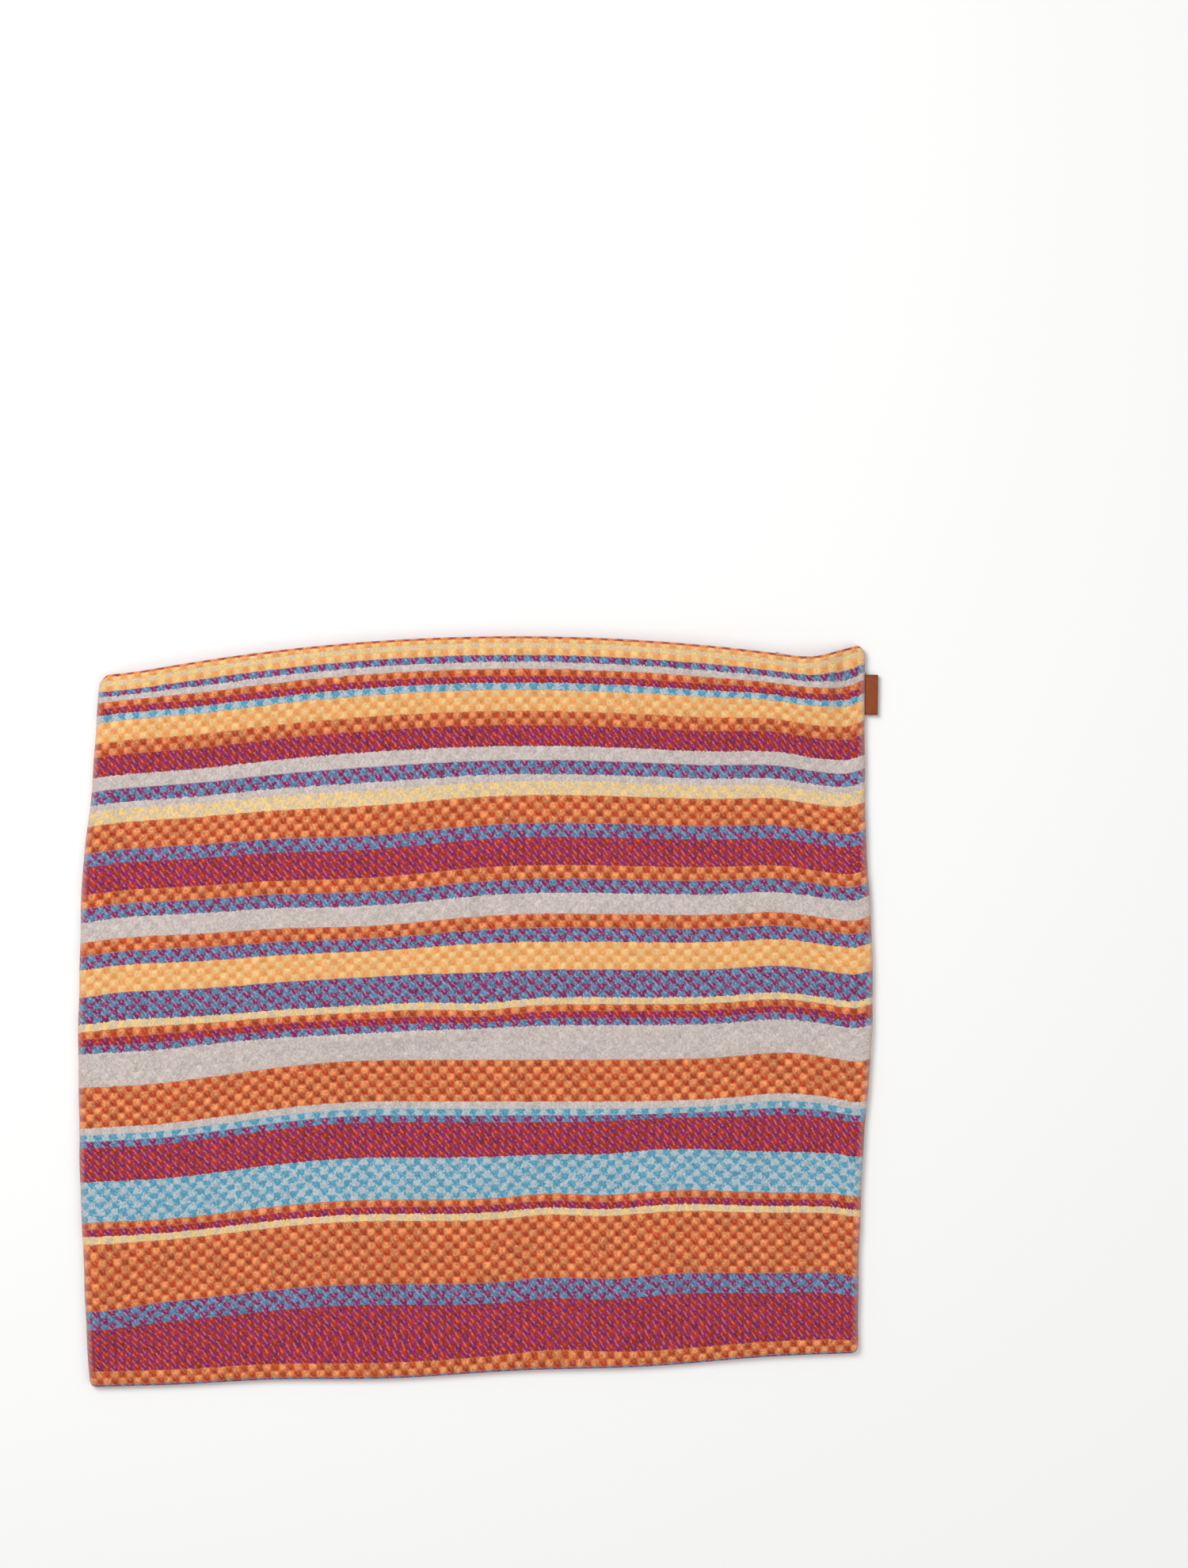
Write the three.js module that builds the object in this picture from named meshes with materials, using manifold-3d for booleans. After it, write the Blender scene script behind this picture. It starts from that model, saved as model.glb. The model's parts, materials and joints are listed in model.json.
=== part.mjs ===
// A zipped cushion cover of brushed wool, empty, lying flat on its face panel with the zip closed.
// Millimetres, +Z up, resting on z = 0. +X runs along the zip towards the label, +Y towards the zip edge.
// The zip edge is laid as a shallow arch, so the whole zip follows one arc and the slider turns about its centre.
import * as THREE from "three";
import { mergeVertices } from "three/addons/utils/BufferGeometryUtils.js";
import Module from "manifold-3d";

// Outline, seen from above
const FOOT_LEFT = new THREE.Vector2(-307, -279);
const FOOT_RIGHT = new THREE.Vector2(285, -273);
const HEAD_LEFT = new THREE.Vector2(-286, 268);
const HEAD_RIGHT = new THREE.Vector2(308, 267);
const FOOT_SAG = 4;
const LEFT_BOW = 10.4;
const RIGHT_BULGE = 9.2;
const RIGHT_BULGE_REACH = 104;

// Arch of the zip edge: its centre, and its radius at the outer face of the hollow behind the lips
const ARCH = new THREE.Vector2(-10, -1237);
const ARCH_RADIUS = 1519;
const HEAD_START = -277.6; // arc lengths from the crown of the arch to the two corners
const HEAD_END = 319.8;
const LIFT_LEFT = { from: -246, reach: 40, rise: 3.5 }; // the corners lie a little above the arch
const LIFT_RIGHT = { from: 258, reach: 44, rise: 14 };

// Heights and thicknesses
const CLOTH = 1.9;
const FIELD_GAP = 0.8; // between the two panels in the middle of the cover
const SEAM_Z = 3.8; // middle of the three plain seams
const ZIP_Z = 7.6; // middle of the zip
const SEAM_GAP = 0.6; // half the gap between the two seam allowances
const SEAM_BAND = 12; // width of the doubled cloth inside each seam
const SEAM_FADE = 20; // over which the doubled cloth thins out to the field
const CREST_BAND = 22; // width of the doubled cloth inside the zip edge
const CREST_FADE = 70; // over which the zip edge's height falls to the field
const EDGE_ROUND = 6;
const EDGE_DROP = 2.2;
const LAP = 0.2; // the field sits this far inside the thickness of the edge roll it joins
const LAP_N = -10; // where the field ends, measured outwards from the arch

// Zip
const SLOT = 0.6; // half width of the slot between the lips
const HOLLOW = 3.9; // half height of the hollow behind the lips
const HOLLOW_SHUT = 1.2; // the same where the corners are sewn shut
const TAPE = 0.5;
const TAPE_LEG = 14;
const GAP = 0.3; // running clearance of the slider, and the gap between neighbours
const COIL_N = -1.2; // middle of each coil half, outwards from the arch
const COIL_Z = 1.25; // and sideways from the middle of the zip
const COIL_RADIUS = { n: 0.9, z: 0.65 };
const TAPE_ENDS = [-236, 270];
const COIL_ENDS = [-222, 255.7];
const STOP_LENGTH = 3;
const SLIDER_AT = 250; // arc length of the slider when the zip is closed
const SLIDER_LENGTH = 10;
const SLIDER_HALF = 2.8;
const SLIDER_BACK = -3.6;
const SHELL = 0.6; // thickness of the slider's flanges
const CROWN_N = 3.2; // underside of the crown plate, just outside the lips
const EYE_N = 5.3; // pivot of the pull
const EYE_OUTER = 1.9;
const EYE_BORE = 0.9;
const EYE_THICK = 1;
const NECK_HALF = 2.5; // half length of the neck that runs in the slot
const CROWN = { halfLength: 4, thick: 0.8, halfWidth: 1.5 };
const PIN = { radius: 0.6, length: 2.8 };
const PULL_LENGTH = 16;
const PULL_ROOT = 2.5; // where the teardrop begins, clear of the eye
const PULL_THICK = 1;
const PULL_HALF = { root: 1.6, end: 2.4 }; // half widths of the teardrop
const EAR = { radius: 0.95, half: 0.45, thick: 0.75, inner: 0.8 }; // the two ears either side of the eye
const TACK_LENGTH = 6;
const TACK_HALF = 2;

// Sewing
const THREAD = 0.6;
const SEAM_IN = 2.5; // seam line, inwards from the edge
const OVERLOCK = { outer: -8, inner: -11 };
const CORNER_IN = 4; // where a seam stops short of a corner
const HEAD_IN = 12; // and where the side seams stop short of the zip edge
const OVERLOCK_IN = { foot: 13, head: 24 }; // the same for the overlock
const LIP_SEAM = 1.6; // seam line of the sewn ends of the zip edge, between the two lips
const STITCH_ROW = -6.6; // stitching of the tapes, outwards from the arch
const OVERLOCK_ZIP = 1.7; // width of the overlock on each zip allowance

// Label
const LABEL_Y = 233.5;
const LABEL_WIDTH = 31;
const LABEL_OUT = 7.6;
const LABEL_THICK = 2.2;
const LABEL_HINGE = 2.2; // fold line of the label, outwards from the seam edge
const LABEL_ROOT = 1.7; // how far the root reaches into the seam

const STEP = 24; // longest step of a swept piece
const EDGE_RINGS = [0, 2, EDGE_ROUND, SEAM_BAND, 22, SEAM_BAND + SEAM_FADE];
const HEAD_RINGS = [0, 14, 28, 42, 58, 76];
const ACROSS = 22; // cells of each panel's grid
const DOWN = 20;
const MARKS = { count: 11, step: 5, clear: 4 }; // stops of the sweeps near a corner

const wasm = await Module();
wasm.setup();

const mix = THREE.MathUtils.lerp;
const ease = (t) => THREE.MathUtils.smoothstep(t, 0, 1);

// ---- Outline ----

function footY(x) {
  const t = (x - FOOT_LEFT.x) / (FOOT_RIGHT.x - FOOT_LEFT.x);
  return mix(FOOT_LEFT.y, FOOT_RIGHT.y, t) - FOOT_SAG * Math.sin(Math.PI * THREE.MathUtils.clamp(t, 0, 1));
}

function leftX(y) {
  const t = (y - FOOT_LEFT.y) / (HEAD_LEFT.y - FOOT_LEFT.y);
  return mix(FOOT_LEFT.x, HEAD_LEFT.x, t) - LEFT_BOW * Math.sin(Math.PI * THREE.MathUtils.clamp(t, 0, 1));
}

function rightX(y) {
  const t = (y - FOOT_RIGHT.y) / (HEAD_RIGHT.y - FOOT_RIGHT.y);
  return mix(FOOT_RIGHT.x, HEAD_RIGHT.x, t) + RIGHT_BULGE * Math.exp(-((y / RIGHT_BULGE_REACH) ** 2));
}

function cornerLift(x) {
  const left = ease((LIFT_LEFT.from - x) / LIFT_LEFT.reach);
  const right = ease((x - LIFT_RIGHT.from) / LIFT_RIGHT.reach);
  return LIFT_LEFT.rise * left + LIFT_RIGHT.rise * right;
}

// Y of the line that runs n outwards from the arch
function headY(x, n) {
  return ARCH.y + Math.sqrt((ARCH_RADIUS + n) ** 2 - (x - ARCH.x) ** 2) + cornerLift(x);
}

const flankDistance = (x, y) => Math.min(x - leftX(y), rightX(y) - x);
const sideDistance = (x, y) => Math.min(flankDistance(x, y), y - footY(x));

// ---- Heights ----

// 1 in the doubled cloth along a plain seam, 0 in the field
const seamBand = (distance) => 1 - ease((distance - SEAM_BAND) / SEAM_FADE);

// 1 along the zip edge, 0 in the field and along the sides
function crest(x, y) {
  const rise = 1 - ease((headY(x, 0) - y - CREST_BAND) / CREST_FADE);
  return rise * (1 - seamBand(flankDistance(x, y)));
}

const middleZ = (x, y) => mix(SEAM_Z, ZIP_Z, crest(x, y));

function edgeDrop(distance) {
  return EDGE_DROP * (1 - THREE.MathUtils.clamp(distance / EDGE_ROUND, 0, 1)) ** 2;
}

function faceHeights(x, y) {
  const distance = sideDistance(x, y);
  const inField = mix(CLOTH, ZIP_Z - HOLLOW - LAP, crest(x, y));
  const inSeam = middleZ(x, y) - SEAM_GAP;
  return { low: edgeDrop(distance), high: mix(inField, inSeam, seamBand(distance)) };
}

function reverseHeights(x, y) {
  const distance = sideDistance(x, y);
  const rise = crest(x, y);
  const band = seamBand(distance);
  const low = mix(mix(CLOTH + FIELD_GAP, ZIP_Z + HOLLOW + LAP, rise), middleZ(x, y) + SEAM_GAP, band);
  const high = mix(mix(2 * CLOTH + FIELD_GAP, 2 * ZIP_Z - LAP, rise), 2 * middleZ(x, y), band);
  return { low, high: high - edgeDrop(distance) };
}

// ---- Geometry helpers ----

function reshape(geometry, place) {
  const at = geometry.attributes.position;
  const spot = new THREE.Vector3();
  for (let i = 0; i < at.count; i++) {
    spot.fromBufferAttribute(at, i);
    at.setXYZ(i, ...place(spot));
  }
  geometry.computeVertexNormals();
  return geometry;
}

function solid(geometry) {
  const bare = new THREE.BufferGeometry().setAttribute("position", geometry.attributes.position);
  bare.setIndex(geometry.index);
  const merged = mergeVertices(bare, 1e-4);
  const vertProperties = merged.attributes.position.array;
  const triVerts = new Uint32Array(merged.index.array);
  return new wasm.Manifold(new wasm.Mesh({ numProp: 3, vertProperties, triVerts }));
}

function joined(geometries) {
  const [first, ...rest] = geometries.map(solid);
  const mesh = rest.reduce((sum, piece) => sum.add(piece), first).getMesh();
  return new THREE.BufferGeometry()
    .setAttribute("position", new THREE.BufferAttribute(mesh.vertProperties, 3))
    .setIndex(new THREE.BufferAttribute(mesh.triVerts, 1));
}

const rectangle = (n0, n1, z0, z1) => [[n0, z0], [n1, z0], [n1, z1], [n0, z1]];

// Places along an edge, counted from the crown of the arch or the middle of a side, that every sweep stops at, so
// that neighbouring sweeps bend at the same places. They are close together where the corners thin out.
const cornerMarks = Array.from({ length: MARKS.count }, (_, i) => SEAM_BAND + MARKS.step * i);
const cornerReach = cornerMarks[MARKS.count - 1] + MARKS.clear;
const evenMarks = Array.from({ length: 25 }, (_, i) => (i - 12) * STEP);
const headMarks = [
  ...cornerMarks.map((mark) => HEAD_START + mark),
  ...evenMarks.filter((mark) => mark > HEAD_START + cornerReach && mark < HEAD_END - cornerReach),
  ...cornerMarks.map((mark) => HEAD_END - mark).reverse(),
];

// Sweeps a section of [outward, up] points from start to end; place gives each point's position.
function sweep(section, start, end, place, marks = evenMarks) {
  const shape = new THREE.Shape(section.map(([n, z]) => new THREE.Vector2(n, z)));
  const [low, high] = [Math.min(start, end), Math.max(start, end)];
  const stops = [low, ...marks.filter((mark) => mark > low + 1 && mark < high - 1), high];
  if (start > end) stops.reverse();
  const steps = stops.length - 1;
  const bar = new THREE.ExtrudeGeometry(shape, { depth: 1, steps, bevelEnabled: false });
  return reshape(bar, (spot) => place(stops[Math.round(spot.z * steps)], spot.x, spot.y));
}

const sweepHead = (section, start, end, place = onArch) => sweep(section, start, end, place, headMarks);

// 1 at the two corners of the zip edge, 0 along the zip
const cornerBand = (x) => seamBand(Math.min(x - HEAD_LEFT.x, HEAD_RIGHT.x - x));

// A point of the zip edge: s along the arch from its crown, n outwards, z up. The edge thins out to the corners.
function onArch(s, n, z) {
  const turn = s / ARCH_RADIUS;
  const x = ARCH.x + ARCH_RADIUS * Math.sin(turn);
  const y = ARCH.y + (ARCH_RADIUS + n) * Math.cos(turn) + cornerLift(x);
  const corner = cornerBand(x);
  return [x + n * Math.sin(turn) * (1 - corner), y, z * mix(1, SEAM_Z / ZIP_Z, corner)];
}

// Points of the plain seams: n outwards from the edge, z up from the middle of the seam
function onSide(x, y, z) {
  return [x, y, middleZ(x, y) + z];
}
const onRight = (y, n, z) => onSide(rightX(y) + n, y, z);
const onLeft = (y, n, z) => onSide(leftX(y) - n, y, z);
const onFoot = (x, n, z) => onSide(x, footY(x) - n, z);

// ---- Panels ----

function ringed(index, count, span, startRings, endRings) {
  const a = startRings.length - 1;
  const b = endRings.length - 1;
  if (index <= a) return startRings[index];
  if (index >= count - b) return span - endRings[count - index];
  return mix(startRings[a], span - endRings[b], (index - a) / (count - a - b));
}

function field(heights) {
  const grid = new THREE.BoxGeometry(1, 1, 1, ACROSS, DOWN, 1);
  return reshape(grid, (spot) => {
    const column = Math.round((spot.x + 0.5) * ACROSS);
    const row = Math.round((spot.y + 0.5) * DOWN);
    let x = 0;
    let y = mix(FOOT_LEFT.y, HEAD_LEFT.y, row / DOWN);
    for (let pass = 0; pass < 3; pass++) {
      x = leftX(y) + ringed(column, ACROSS, rightX(y) - leftX(y), EDGE_RINGS, EDGE_RINGS);
      const foot = footY(x);
      y = foot + ringed(row, DOWN, headY(x, LAP_N) - foot, EDGE_RINGS, HEAD_RINGS);
    }
    const { low, high } = heights(x, y);
    return [x, y, spot.z > 0 ? high : low];
  });
}

// Section of the rolled zip edge, upwards from the middle of the zip: doubled cloth with a thin lip at the slot
const ROLL = [
  [-16, HOLLOW], [0.8, HOLLOW], [0.8, SLOT], [2.4, SLOT], [2.9, 1.4], [2.9, 2.6],
  [4.9, 3.1], [6, 4.6], [5.4, 6.2], [3.2, 7.3], [0, ZIP_Z], [-16, ZIP_Z],
];

function roll(up) {
  return sweepHead(ROLL, HEAD_START, HEAD_END, (s, n, z) => {
    const [x] = onArch(s, n, z);
    const height = Math.abs(z - HOLLOW) < 0.01 ? mix(HOLLOW, HOLLOW_SHUT, cornerBand(x)) : z;
    return onArch(s, n, ZIP_Z + up * height);
  });
}

// Mirrors a geometry's winding, for sweeps that were turned upside down
function flipped(geometry) {
  const at = geometry.attributes.position;
  for (let i = 0; i < at.count; i += 3) {
    const [x, y, z] = [at.getX(i), at.getY(i), at.getZ(i)];
    at.setXYZ(i, at.getX(i + 1), at.getY(i + 1), at.getZ(i + 1));
    at.setXYZ(i + 1, x, y, z);
  }
  return geometry;
}

const facePanel = () => joined([field(faceHeights), flipped(roll(-1))]);
const reversePanel = () => joined([field(reverseHeights), roll(1)]);

// ---- Zip ----

const mirrored = (section, up) => section.map(([n, z]) => [n, ZIP_Z + up * z]);

function zipTape(up) {
  const leg = HOLLOW - GAP;
  const section = [
    [-TAPE_LEG, leg - TAPE], [0, leg - TAPE], [0, SLOT], [TAPE, SLOT], [TAPE, leg], [-TAPE_LEG, leg],
  ];
  return sweepHead(mirrored(section, up), ...TAPE_ENDS);
}

function coilHalf(up) {
  const sides = Array.from({ length: 8 }, (_, i) => (Math.PI * (i + 0.5)) / 4);
  const section = sides.map((turn) => [
    COIL_N + COIL_RADIUS.n * Math.cos(turn),
    COIL_Z + COIL_RADIUS.z * Math.sin(turn),
  ]);
  return sweepHead(mirrored(section, up), ...COIL_ENDS);
}

const STOP_SECTION = { n0: -2.3, n1: -GAP, z1: 2.2 };

function topStop(up) {
  const { n0, n1, z1 } = STOP_SECTION;
  const start = COIL_ENDS[1] + GAP;
  return sweepHead(mirrored(rectangle(n0, n1, SLOT, z1), up), start, start + STOP_LENGTH);
}

function bottomStop() {
  const { n0, n1, z1 } = STOP_SECTION;
  const end = COIL_ENDS[0] - GAP;
  return sweepHead(rectangle(n0, n1, ZIP_Z - z1, ZIP_Z + z1), end - STOP_LENGTH, end);
}

// A box given by its corners, in the slider's own axes: along the zip, outwards, up
function block(x0, x1, y0, y1, z0, z1) {
  const box = new THREE.BoxGeometry(x1 - x0, y1 - y0, z1 - z0);
  return box.translate((x0 + x1) / 2, (y0 + y1) / 2, (z0 + z1) / 2);
}

const plate = (shape, depth) => {
  return new THREE.ExtrudeGeometry(shape, { depth, bevelEnabled: false, curveSegments: 20 });
};

function sliderBody() {
  const half = SLIDER_LENGTH / 2;
  const coilBack = COIL_N - COIL_RADIUS.n - GAP;
  const eye = new THREE.Shape().absarc(0, EYE_N, EYE_OUTER, 0, 2 * Math.PI);
  eye.holes.push(new THREE.Path().absarc(0, EYE_N, EYE_BORE, 0, 2 * Math.PI, true));
  return joined([
    block(-half, half, SLIDER_BACK, coilBack, -SLIDER_HALF, SLIDER_HALF),
    block(-half, half, coilBack - LAP, -GAP, SLIDER_HALF - SHELL, SLIDER_HALF),
    block(-half, half, coilBack - LAP, -GAP, -SLIDER_HALF, SHELL - SLIDER_HALF),
    block(-NECK_HALF, NECK_HALF, coilBack - LAP, CROWN_N + LAP, -SLOT + GAP, SLOT - GAP),
    block(
      -CROWN.halfLength, CROWN.halfLength, CROWN_N, CROWN_N + CROWN.thick, -CROWN.halfWidth, CROWN.halfWidth,
    ),
    plate(eye, EYE_THICK).translate(0, 0, -EYE_THICK / 2),
  ]);
}

// The pull in its own axes: along its length, across its thickness, across its width; pivot at the origin
function pullBody() {
  const { root, end } = PULL_HALF;
  const drop = new THREE.Shape();
  drop.moveTo(PULL_ROOT, -root).lineTo(PULL_LENGTH - end, -end);
  drop.absarc(PULL_LENGTH - end, 0, end, -Math.PI / 2, Math.PI / 2).lineTo(PULL_ROOT, root);
  const teardrop = plate(drop, PULL_THICK).translate(0, 0, -PULL_THICK / 2).rotateX(Math.PI / 2);
  const ear = new THREE.Shape();
  ear.moveTo(PULL_ROOT + 1, EAR.half).absarc(0, 0, EAR.radius, Math.PI / 2, 1.5 * Math.PI);
  ear.lineTo(PULL_ROOT + 1, -EAR.half);
  const ears = [-EAR.inner - EAR.thick, EAR.inner].map((z) => plate(ear, EAR.thick).translate(0, 0, z));
  const pin = new THREE.CylinderGeometry(PIN.radius, PIN.radius, PIN.length, 16).rotateX(Math.PI / 2);
  return joined([teardrop, ...ears, pin]);
}

// ---- Sewing ----

const thread = (n) => rectangle(n - THREAD / 2, n + THREAD / 2, -THREAD / 2, THREAD / 2);
const onZipMiddle = (s, n, z) => onArch(s, n, ZIP_Z + z);
const overlockRibbon = rectangle(OVERLOCK.inner, OVERLOCK.outer, -THREAD / 2, THREAD / 2);

const seamRight = () => sweep(thread(-SEAM_IN), HEAD_RIGHT.y - HEAD_IN, FOOT_RIGHT.y + CORNER_IN, onRight);
const seamLeft = () => sweep(thread(-SEAM_IN), FOOT_LEFT.y + CORNER_IN, HEAD_LEFT.y - HEAD_IN, onLeft);
const seamFoot = () => sweep(thread(-SEAM_IN), FOOT_RIGHT.x - SEAM_IN, FOOT_LEFT.x + SEAM_IN, onFoot);
const seamHeadLeft = () => sweepHead(thread(LIP_SEAM), HEAD_START + CORNER_IN, TAPE_ENDS[0], onZipMiddle);
const seamHeadRight = () => sweepHead(thread(LIP_SEAM), TAPE_ENDS[1], HEAD_END - CORNER_IN, onZipMiddle);

const overlock = (start, end, place) => sweep(overlockRibbon, start, end, place);
const overlockRight = () => {
  return overlock(HEAD_RIGHT.y - OVERLOCK_IN.head, FOOT_RIGHT.y + OVERLOCK_IN.foot, onRight);
};
const overlockLeft = () => overlock(FOOT_LEFT.y + OVERLOCK_IN.foot, HEAD_LEFT.y - OVERLOCK_IN.head, onLeft);
const overlockFoot = () => overlock(FOOT_RIGHT.x - OVERLOCK_IN.foot, FOOT_LEFT.x + OVERLOCK_IN.foot, onFoot);

// The lockstitch that holds a tape to its panel, on the inner face of the tape's leg
function zipStitching(up) {
  const top = HOLLOW - GAP - TAPE - GAP;
  const row = rectangle(STITCH_ROW, STITCH_ROW + THREAD, top - THREAD, top);
  return sweepHead(mirrored(row, up), ...TAPE_ENDS);
}

// The overlock on a panel's zip allowance, just past the inner edge of the tape
function zipOverlock(up) {
  const inner = -TAPE_LEG - GAP;
  const top = HOLLOW - GAP;
  return sweepHead(mirrored(rectangle(inner - OVERLOCK_ZIP, inner, top - THREAD, top), up), ...TAPE_ENDS);
}

function barTack(start) {
  const bar = rectangle(CROWN_N, CROWN_N + THREAD, ZIP_Z - TACK_HALF, ZIP_Z + TACK_HALF);
  return sweepHead(bar, start, start + TACK_LENGTH);
}

// ---- Label, in its own axes: outwards from its fold line, along the seam, up ----

const labelTab = () => {
  return block(GAP, LABEL_OUT, -LABEL_WIDTH / 2, LABEL_WIDTH / 2, -LABEL_THICK / 2, LABEL_THICK / 2);
};

function labelRoot() {
  const inner = -LABEL_HINGE - LABEL_ROOT;
  const outer = -LABEL_THICK / 2 - GAP;
  return block(inner, outer, -LABEL_WIDTH / 2, LABEL_WIDTH / 2, -THREAD / 2, THREAD / 2);
}

// ---- Materials ----

const finish = (color, roughness, metalness) => {
  return new THREE.MeshStandardMaterial({ color, roughness, metalness });
};
const reverseWool = finish(0xc96a4a, 0.95, 0);
const faceWool = finish(0xd9a06c, 0.95, 0);
const tapeCloth = finish(0xe6d9b8, 0.85, 0);
const nylon = finish(0xe2d3ad, 0.45, 0);
const brass = finish(0xc9a76a, 0.35, 1);
const polyester = finish(0xd8c9b4, 0.7, 0);
const leather = finish(0x9c5436, 0.6, 0);

// ---- Assembly ----

const cover = new THREE.Group();

function add(name, geometry, material, parent = cover) {
  const mesh = new THREE.Mesh(geometry, material);
  mesh.name = name;
  parent.add(mesh);
}

add("face_panel", facePanel(), faceWool);
add("reverse_panel", reversePanel(), reverseWool);

for (const [side, up] of [["face", -1], ["reverse", 1]]) {
  add(`zip_tape_${side}`, zipTape(up), tapeCloth);
  add(`zip_coil_${side}`, coilHalf(up), nylon);
  add(`zip_top_stop_${side}`, topStop(up), brass);
  add(`zip_stitching_${side}`, zipStitching(up), polyester);
  add(`overlock_zip_${side}`, zipOverlock(up), polyester);
}
add("zip_bottom_stop", bottomStop(), brass);
add("bar_tack_closed_end", barTack(COIL_ENDS[1] + TACK_LENGTH), polyester);
add("bar_tack_open_end", barTack(COIL_ENDS[0] - 2 * TACK_LENGTH), polyester);

add("seam_thread_right", seamRight(), polyester);
add("seam_thread_left", seamLeft(), polyester);
add("seam_thread_foot", seamFoot(), polyester);
add("seam_thread_head_left", seamHeadLeft(), polyester);
add("seam_thread_head_right", seamHeadRight(), polyester);
add("overlock_right", overlockRight(), polyester);
add("overlock_left", overlockLeft(), polyester);
add("overlock_foot", overlockFoot(), polyester);

const slider = new THREE.Group();
slider.position.set(...onArch(SLIDER_AT, 0, ZIP_Z));
slider.rotation.z = -SLIDER_AT / ARCH_RADIUS;
cover.add(slider);
add("zip_slider", sliderBody(), brass, slider);

const pull = new THREE.Group();
pull.position.y = EYE_N;
pull.rotation.z = Math.PI; // lies back along the zip, towards the open end
slider.add(pull);
add("zip_pull", pullBody(), brass, pull);

// The label's fold line follows the seam from one end of the label to the other.
const labelEnds = [-0.5, 0.5].map((t) => {
  return new THREE.Vector3(...onRight(LABEL_Y + t * LABEL_WIDTH, LABEL_HINGE, 0));
});
const labelAlong = labelEnds[1].clone().sub(labelEnds[0]).normalize();
const labelOut = labelAlong.clone().cross(new THREE.Vector3(0, 0, 1)).normalize();
const label = new THREE.Group();
label.position.lerpVectors(...labelEnds, 0.5);
label.setRotationFromMatrix(
  new THREE.Matrix4().makeBasis(labelOut, labelAlong, labelOut.clone().cross(labelAlong)),
);
cover.add(label);
add("label_tab", labelTab(), leather, label);
add("label_root", labelRoot(), leather, label);

export default cover;
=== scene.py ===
"""A zipped cushion cover of striped, brushed wool, empty and flat, reverse panel up. Metres, +Z up."""
import json
import math

import bmesh
import bpy
import numpy as np
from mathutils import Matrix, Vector
from mathutils.bvhtree import BVHTree


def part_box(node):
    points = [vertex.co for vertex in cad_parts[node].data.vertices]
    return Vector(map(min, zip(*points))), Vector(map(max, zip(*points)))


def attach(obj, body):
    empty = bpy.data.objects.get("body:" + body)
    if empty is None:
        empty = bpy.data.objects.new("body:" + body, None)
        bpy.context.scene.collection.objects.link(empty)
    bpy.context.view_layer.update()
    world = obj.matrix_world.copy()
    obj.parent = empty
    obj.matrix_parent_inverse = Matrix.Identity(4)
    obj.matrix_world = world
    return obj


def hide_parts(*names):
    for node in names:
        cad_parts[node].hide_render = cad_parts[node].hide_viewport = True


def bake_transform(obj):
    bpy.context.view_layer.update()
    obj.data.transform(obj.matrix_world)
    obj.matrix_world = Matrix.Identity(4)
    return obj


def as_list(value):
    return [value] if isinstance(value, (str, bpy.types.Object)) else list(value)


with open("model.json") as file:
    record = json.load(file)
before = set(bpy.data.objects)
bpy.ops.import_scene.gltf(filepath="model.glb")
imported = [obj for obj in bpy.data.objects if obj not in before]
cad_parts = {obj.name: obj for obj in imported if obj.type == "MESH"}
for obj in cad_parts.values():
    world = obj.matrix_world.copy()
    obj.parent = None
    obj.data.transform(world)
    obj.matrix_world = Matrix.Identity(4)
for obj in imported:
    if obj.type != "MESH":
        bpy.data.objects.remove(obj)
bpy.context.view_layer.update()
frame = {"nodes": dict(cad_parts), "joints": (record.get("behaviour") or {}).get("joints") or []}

MM = 0.001
JOINTS = {joint["name"]: joint for joint in frame["joints"]}
PIVOT = Vector(JOINTS["zip_travel"]["pos_m"])  # middle of the arc that the zip follows
FOLD = Vector(JOINTS["label_flap"]["pos_m"])  # middle of the label's fold line
FOLD_ALONG = -Vector(JOINTS["label_flap"]["axis"])
FOLD_OUT = FOLD_ALONG.cross(Vector((0, 0, 1))).normalized()
ZIP_Z = PIVOT.z
SEAM_Z = FOLD.z
REVERSE_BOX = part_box("reverse_panel")
TAPE_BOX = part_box("zip_tape_reverse")

# ---- Sizes of the cloth, in metres ----

ROLL_OUT = 6 * MM  # the roll at the zip edge stands this far outside the arc of the zip
ARC_RADIUS = REVERSE_BOX[1].y - PIVOT.y - ROLL_OUT
CLOTH = 1.9 * MM
FIELD_LOW = REVERSE_BOX[0].z  # underside of the reverse panel in the middle of the cover
FIELD_TOP = FIELD_LOW + CLOTH
SEAM_GAP = 0.6 * MM  # half the gap between the two seam allowances
SEAM_BAND = 12 * MM  # width of the doubled cloth inside each plain seam
SEAM_FADE = 20 * MM
CREST_BAND = 22 * MM  # the same inside the zip edge
CREST_FADE = 70 * MM
HOLLOW = 4.1 * MM  # half height of the hollow behind the lips of the zip edge
ROLL_IN = -2 * MM  # where the roll's section meets the field, outwards from the arc of the zip
EDGE_ROUND = 4.5 * MM  # reach of the rounding of the sewn edges
PILLOW = 0.14 * MM  # how far a woven cell stands above its corners
CORNER_HEAD = 9 * MM  # reach of the rounding of the corners at the zip edge
CORNER_FOOT = 6 * MM
LEFT_DRAWN = 4.2 * MM  # how far the left edge is drawn in beside the zip edge,
LEFT_FROM = 0.112  # beginning at this Y
LEFT_FADE = 0.085  # and over this length
FOOT_DRAWN = 1.6 * MM  # how far the foot edge is drawn up on average,
FOOT_RIPPLE = 0.031  # in ripples of 2 pi times this length
FOOT_FADE = 0.16  # that grow from the left corner over this length
SIDE_WANDER = 0.45 * MM  # how far the side edges wander inwards on average,
SIDE_REACH = 9 * MM  # with the cloth this far inside them
SIDE_WAVES = (11 * MM, 29 * MM)
SWELL = 0.7 * MM  # average of the slow swell of the reverse panel
SWELL_ALONG_X = 0.041
SWELL_ALONG_Y = 0.057

# ---- The weave: 101 columns and 107 rows of small two-coloured cells ----

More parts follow.
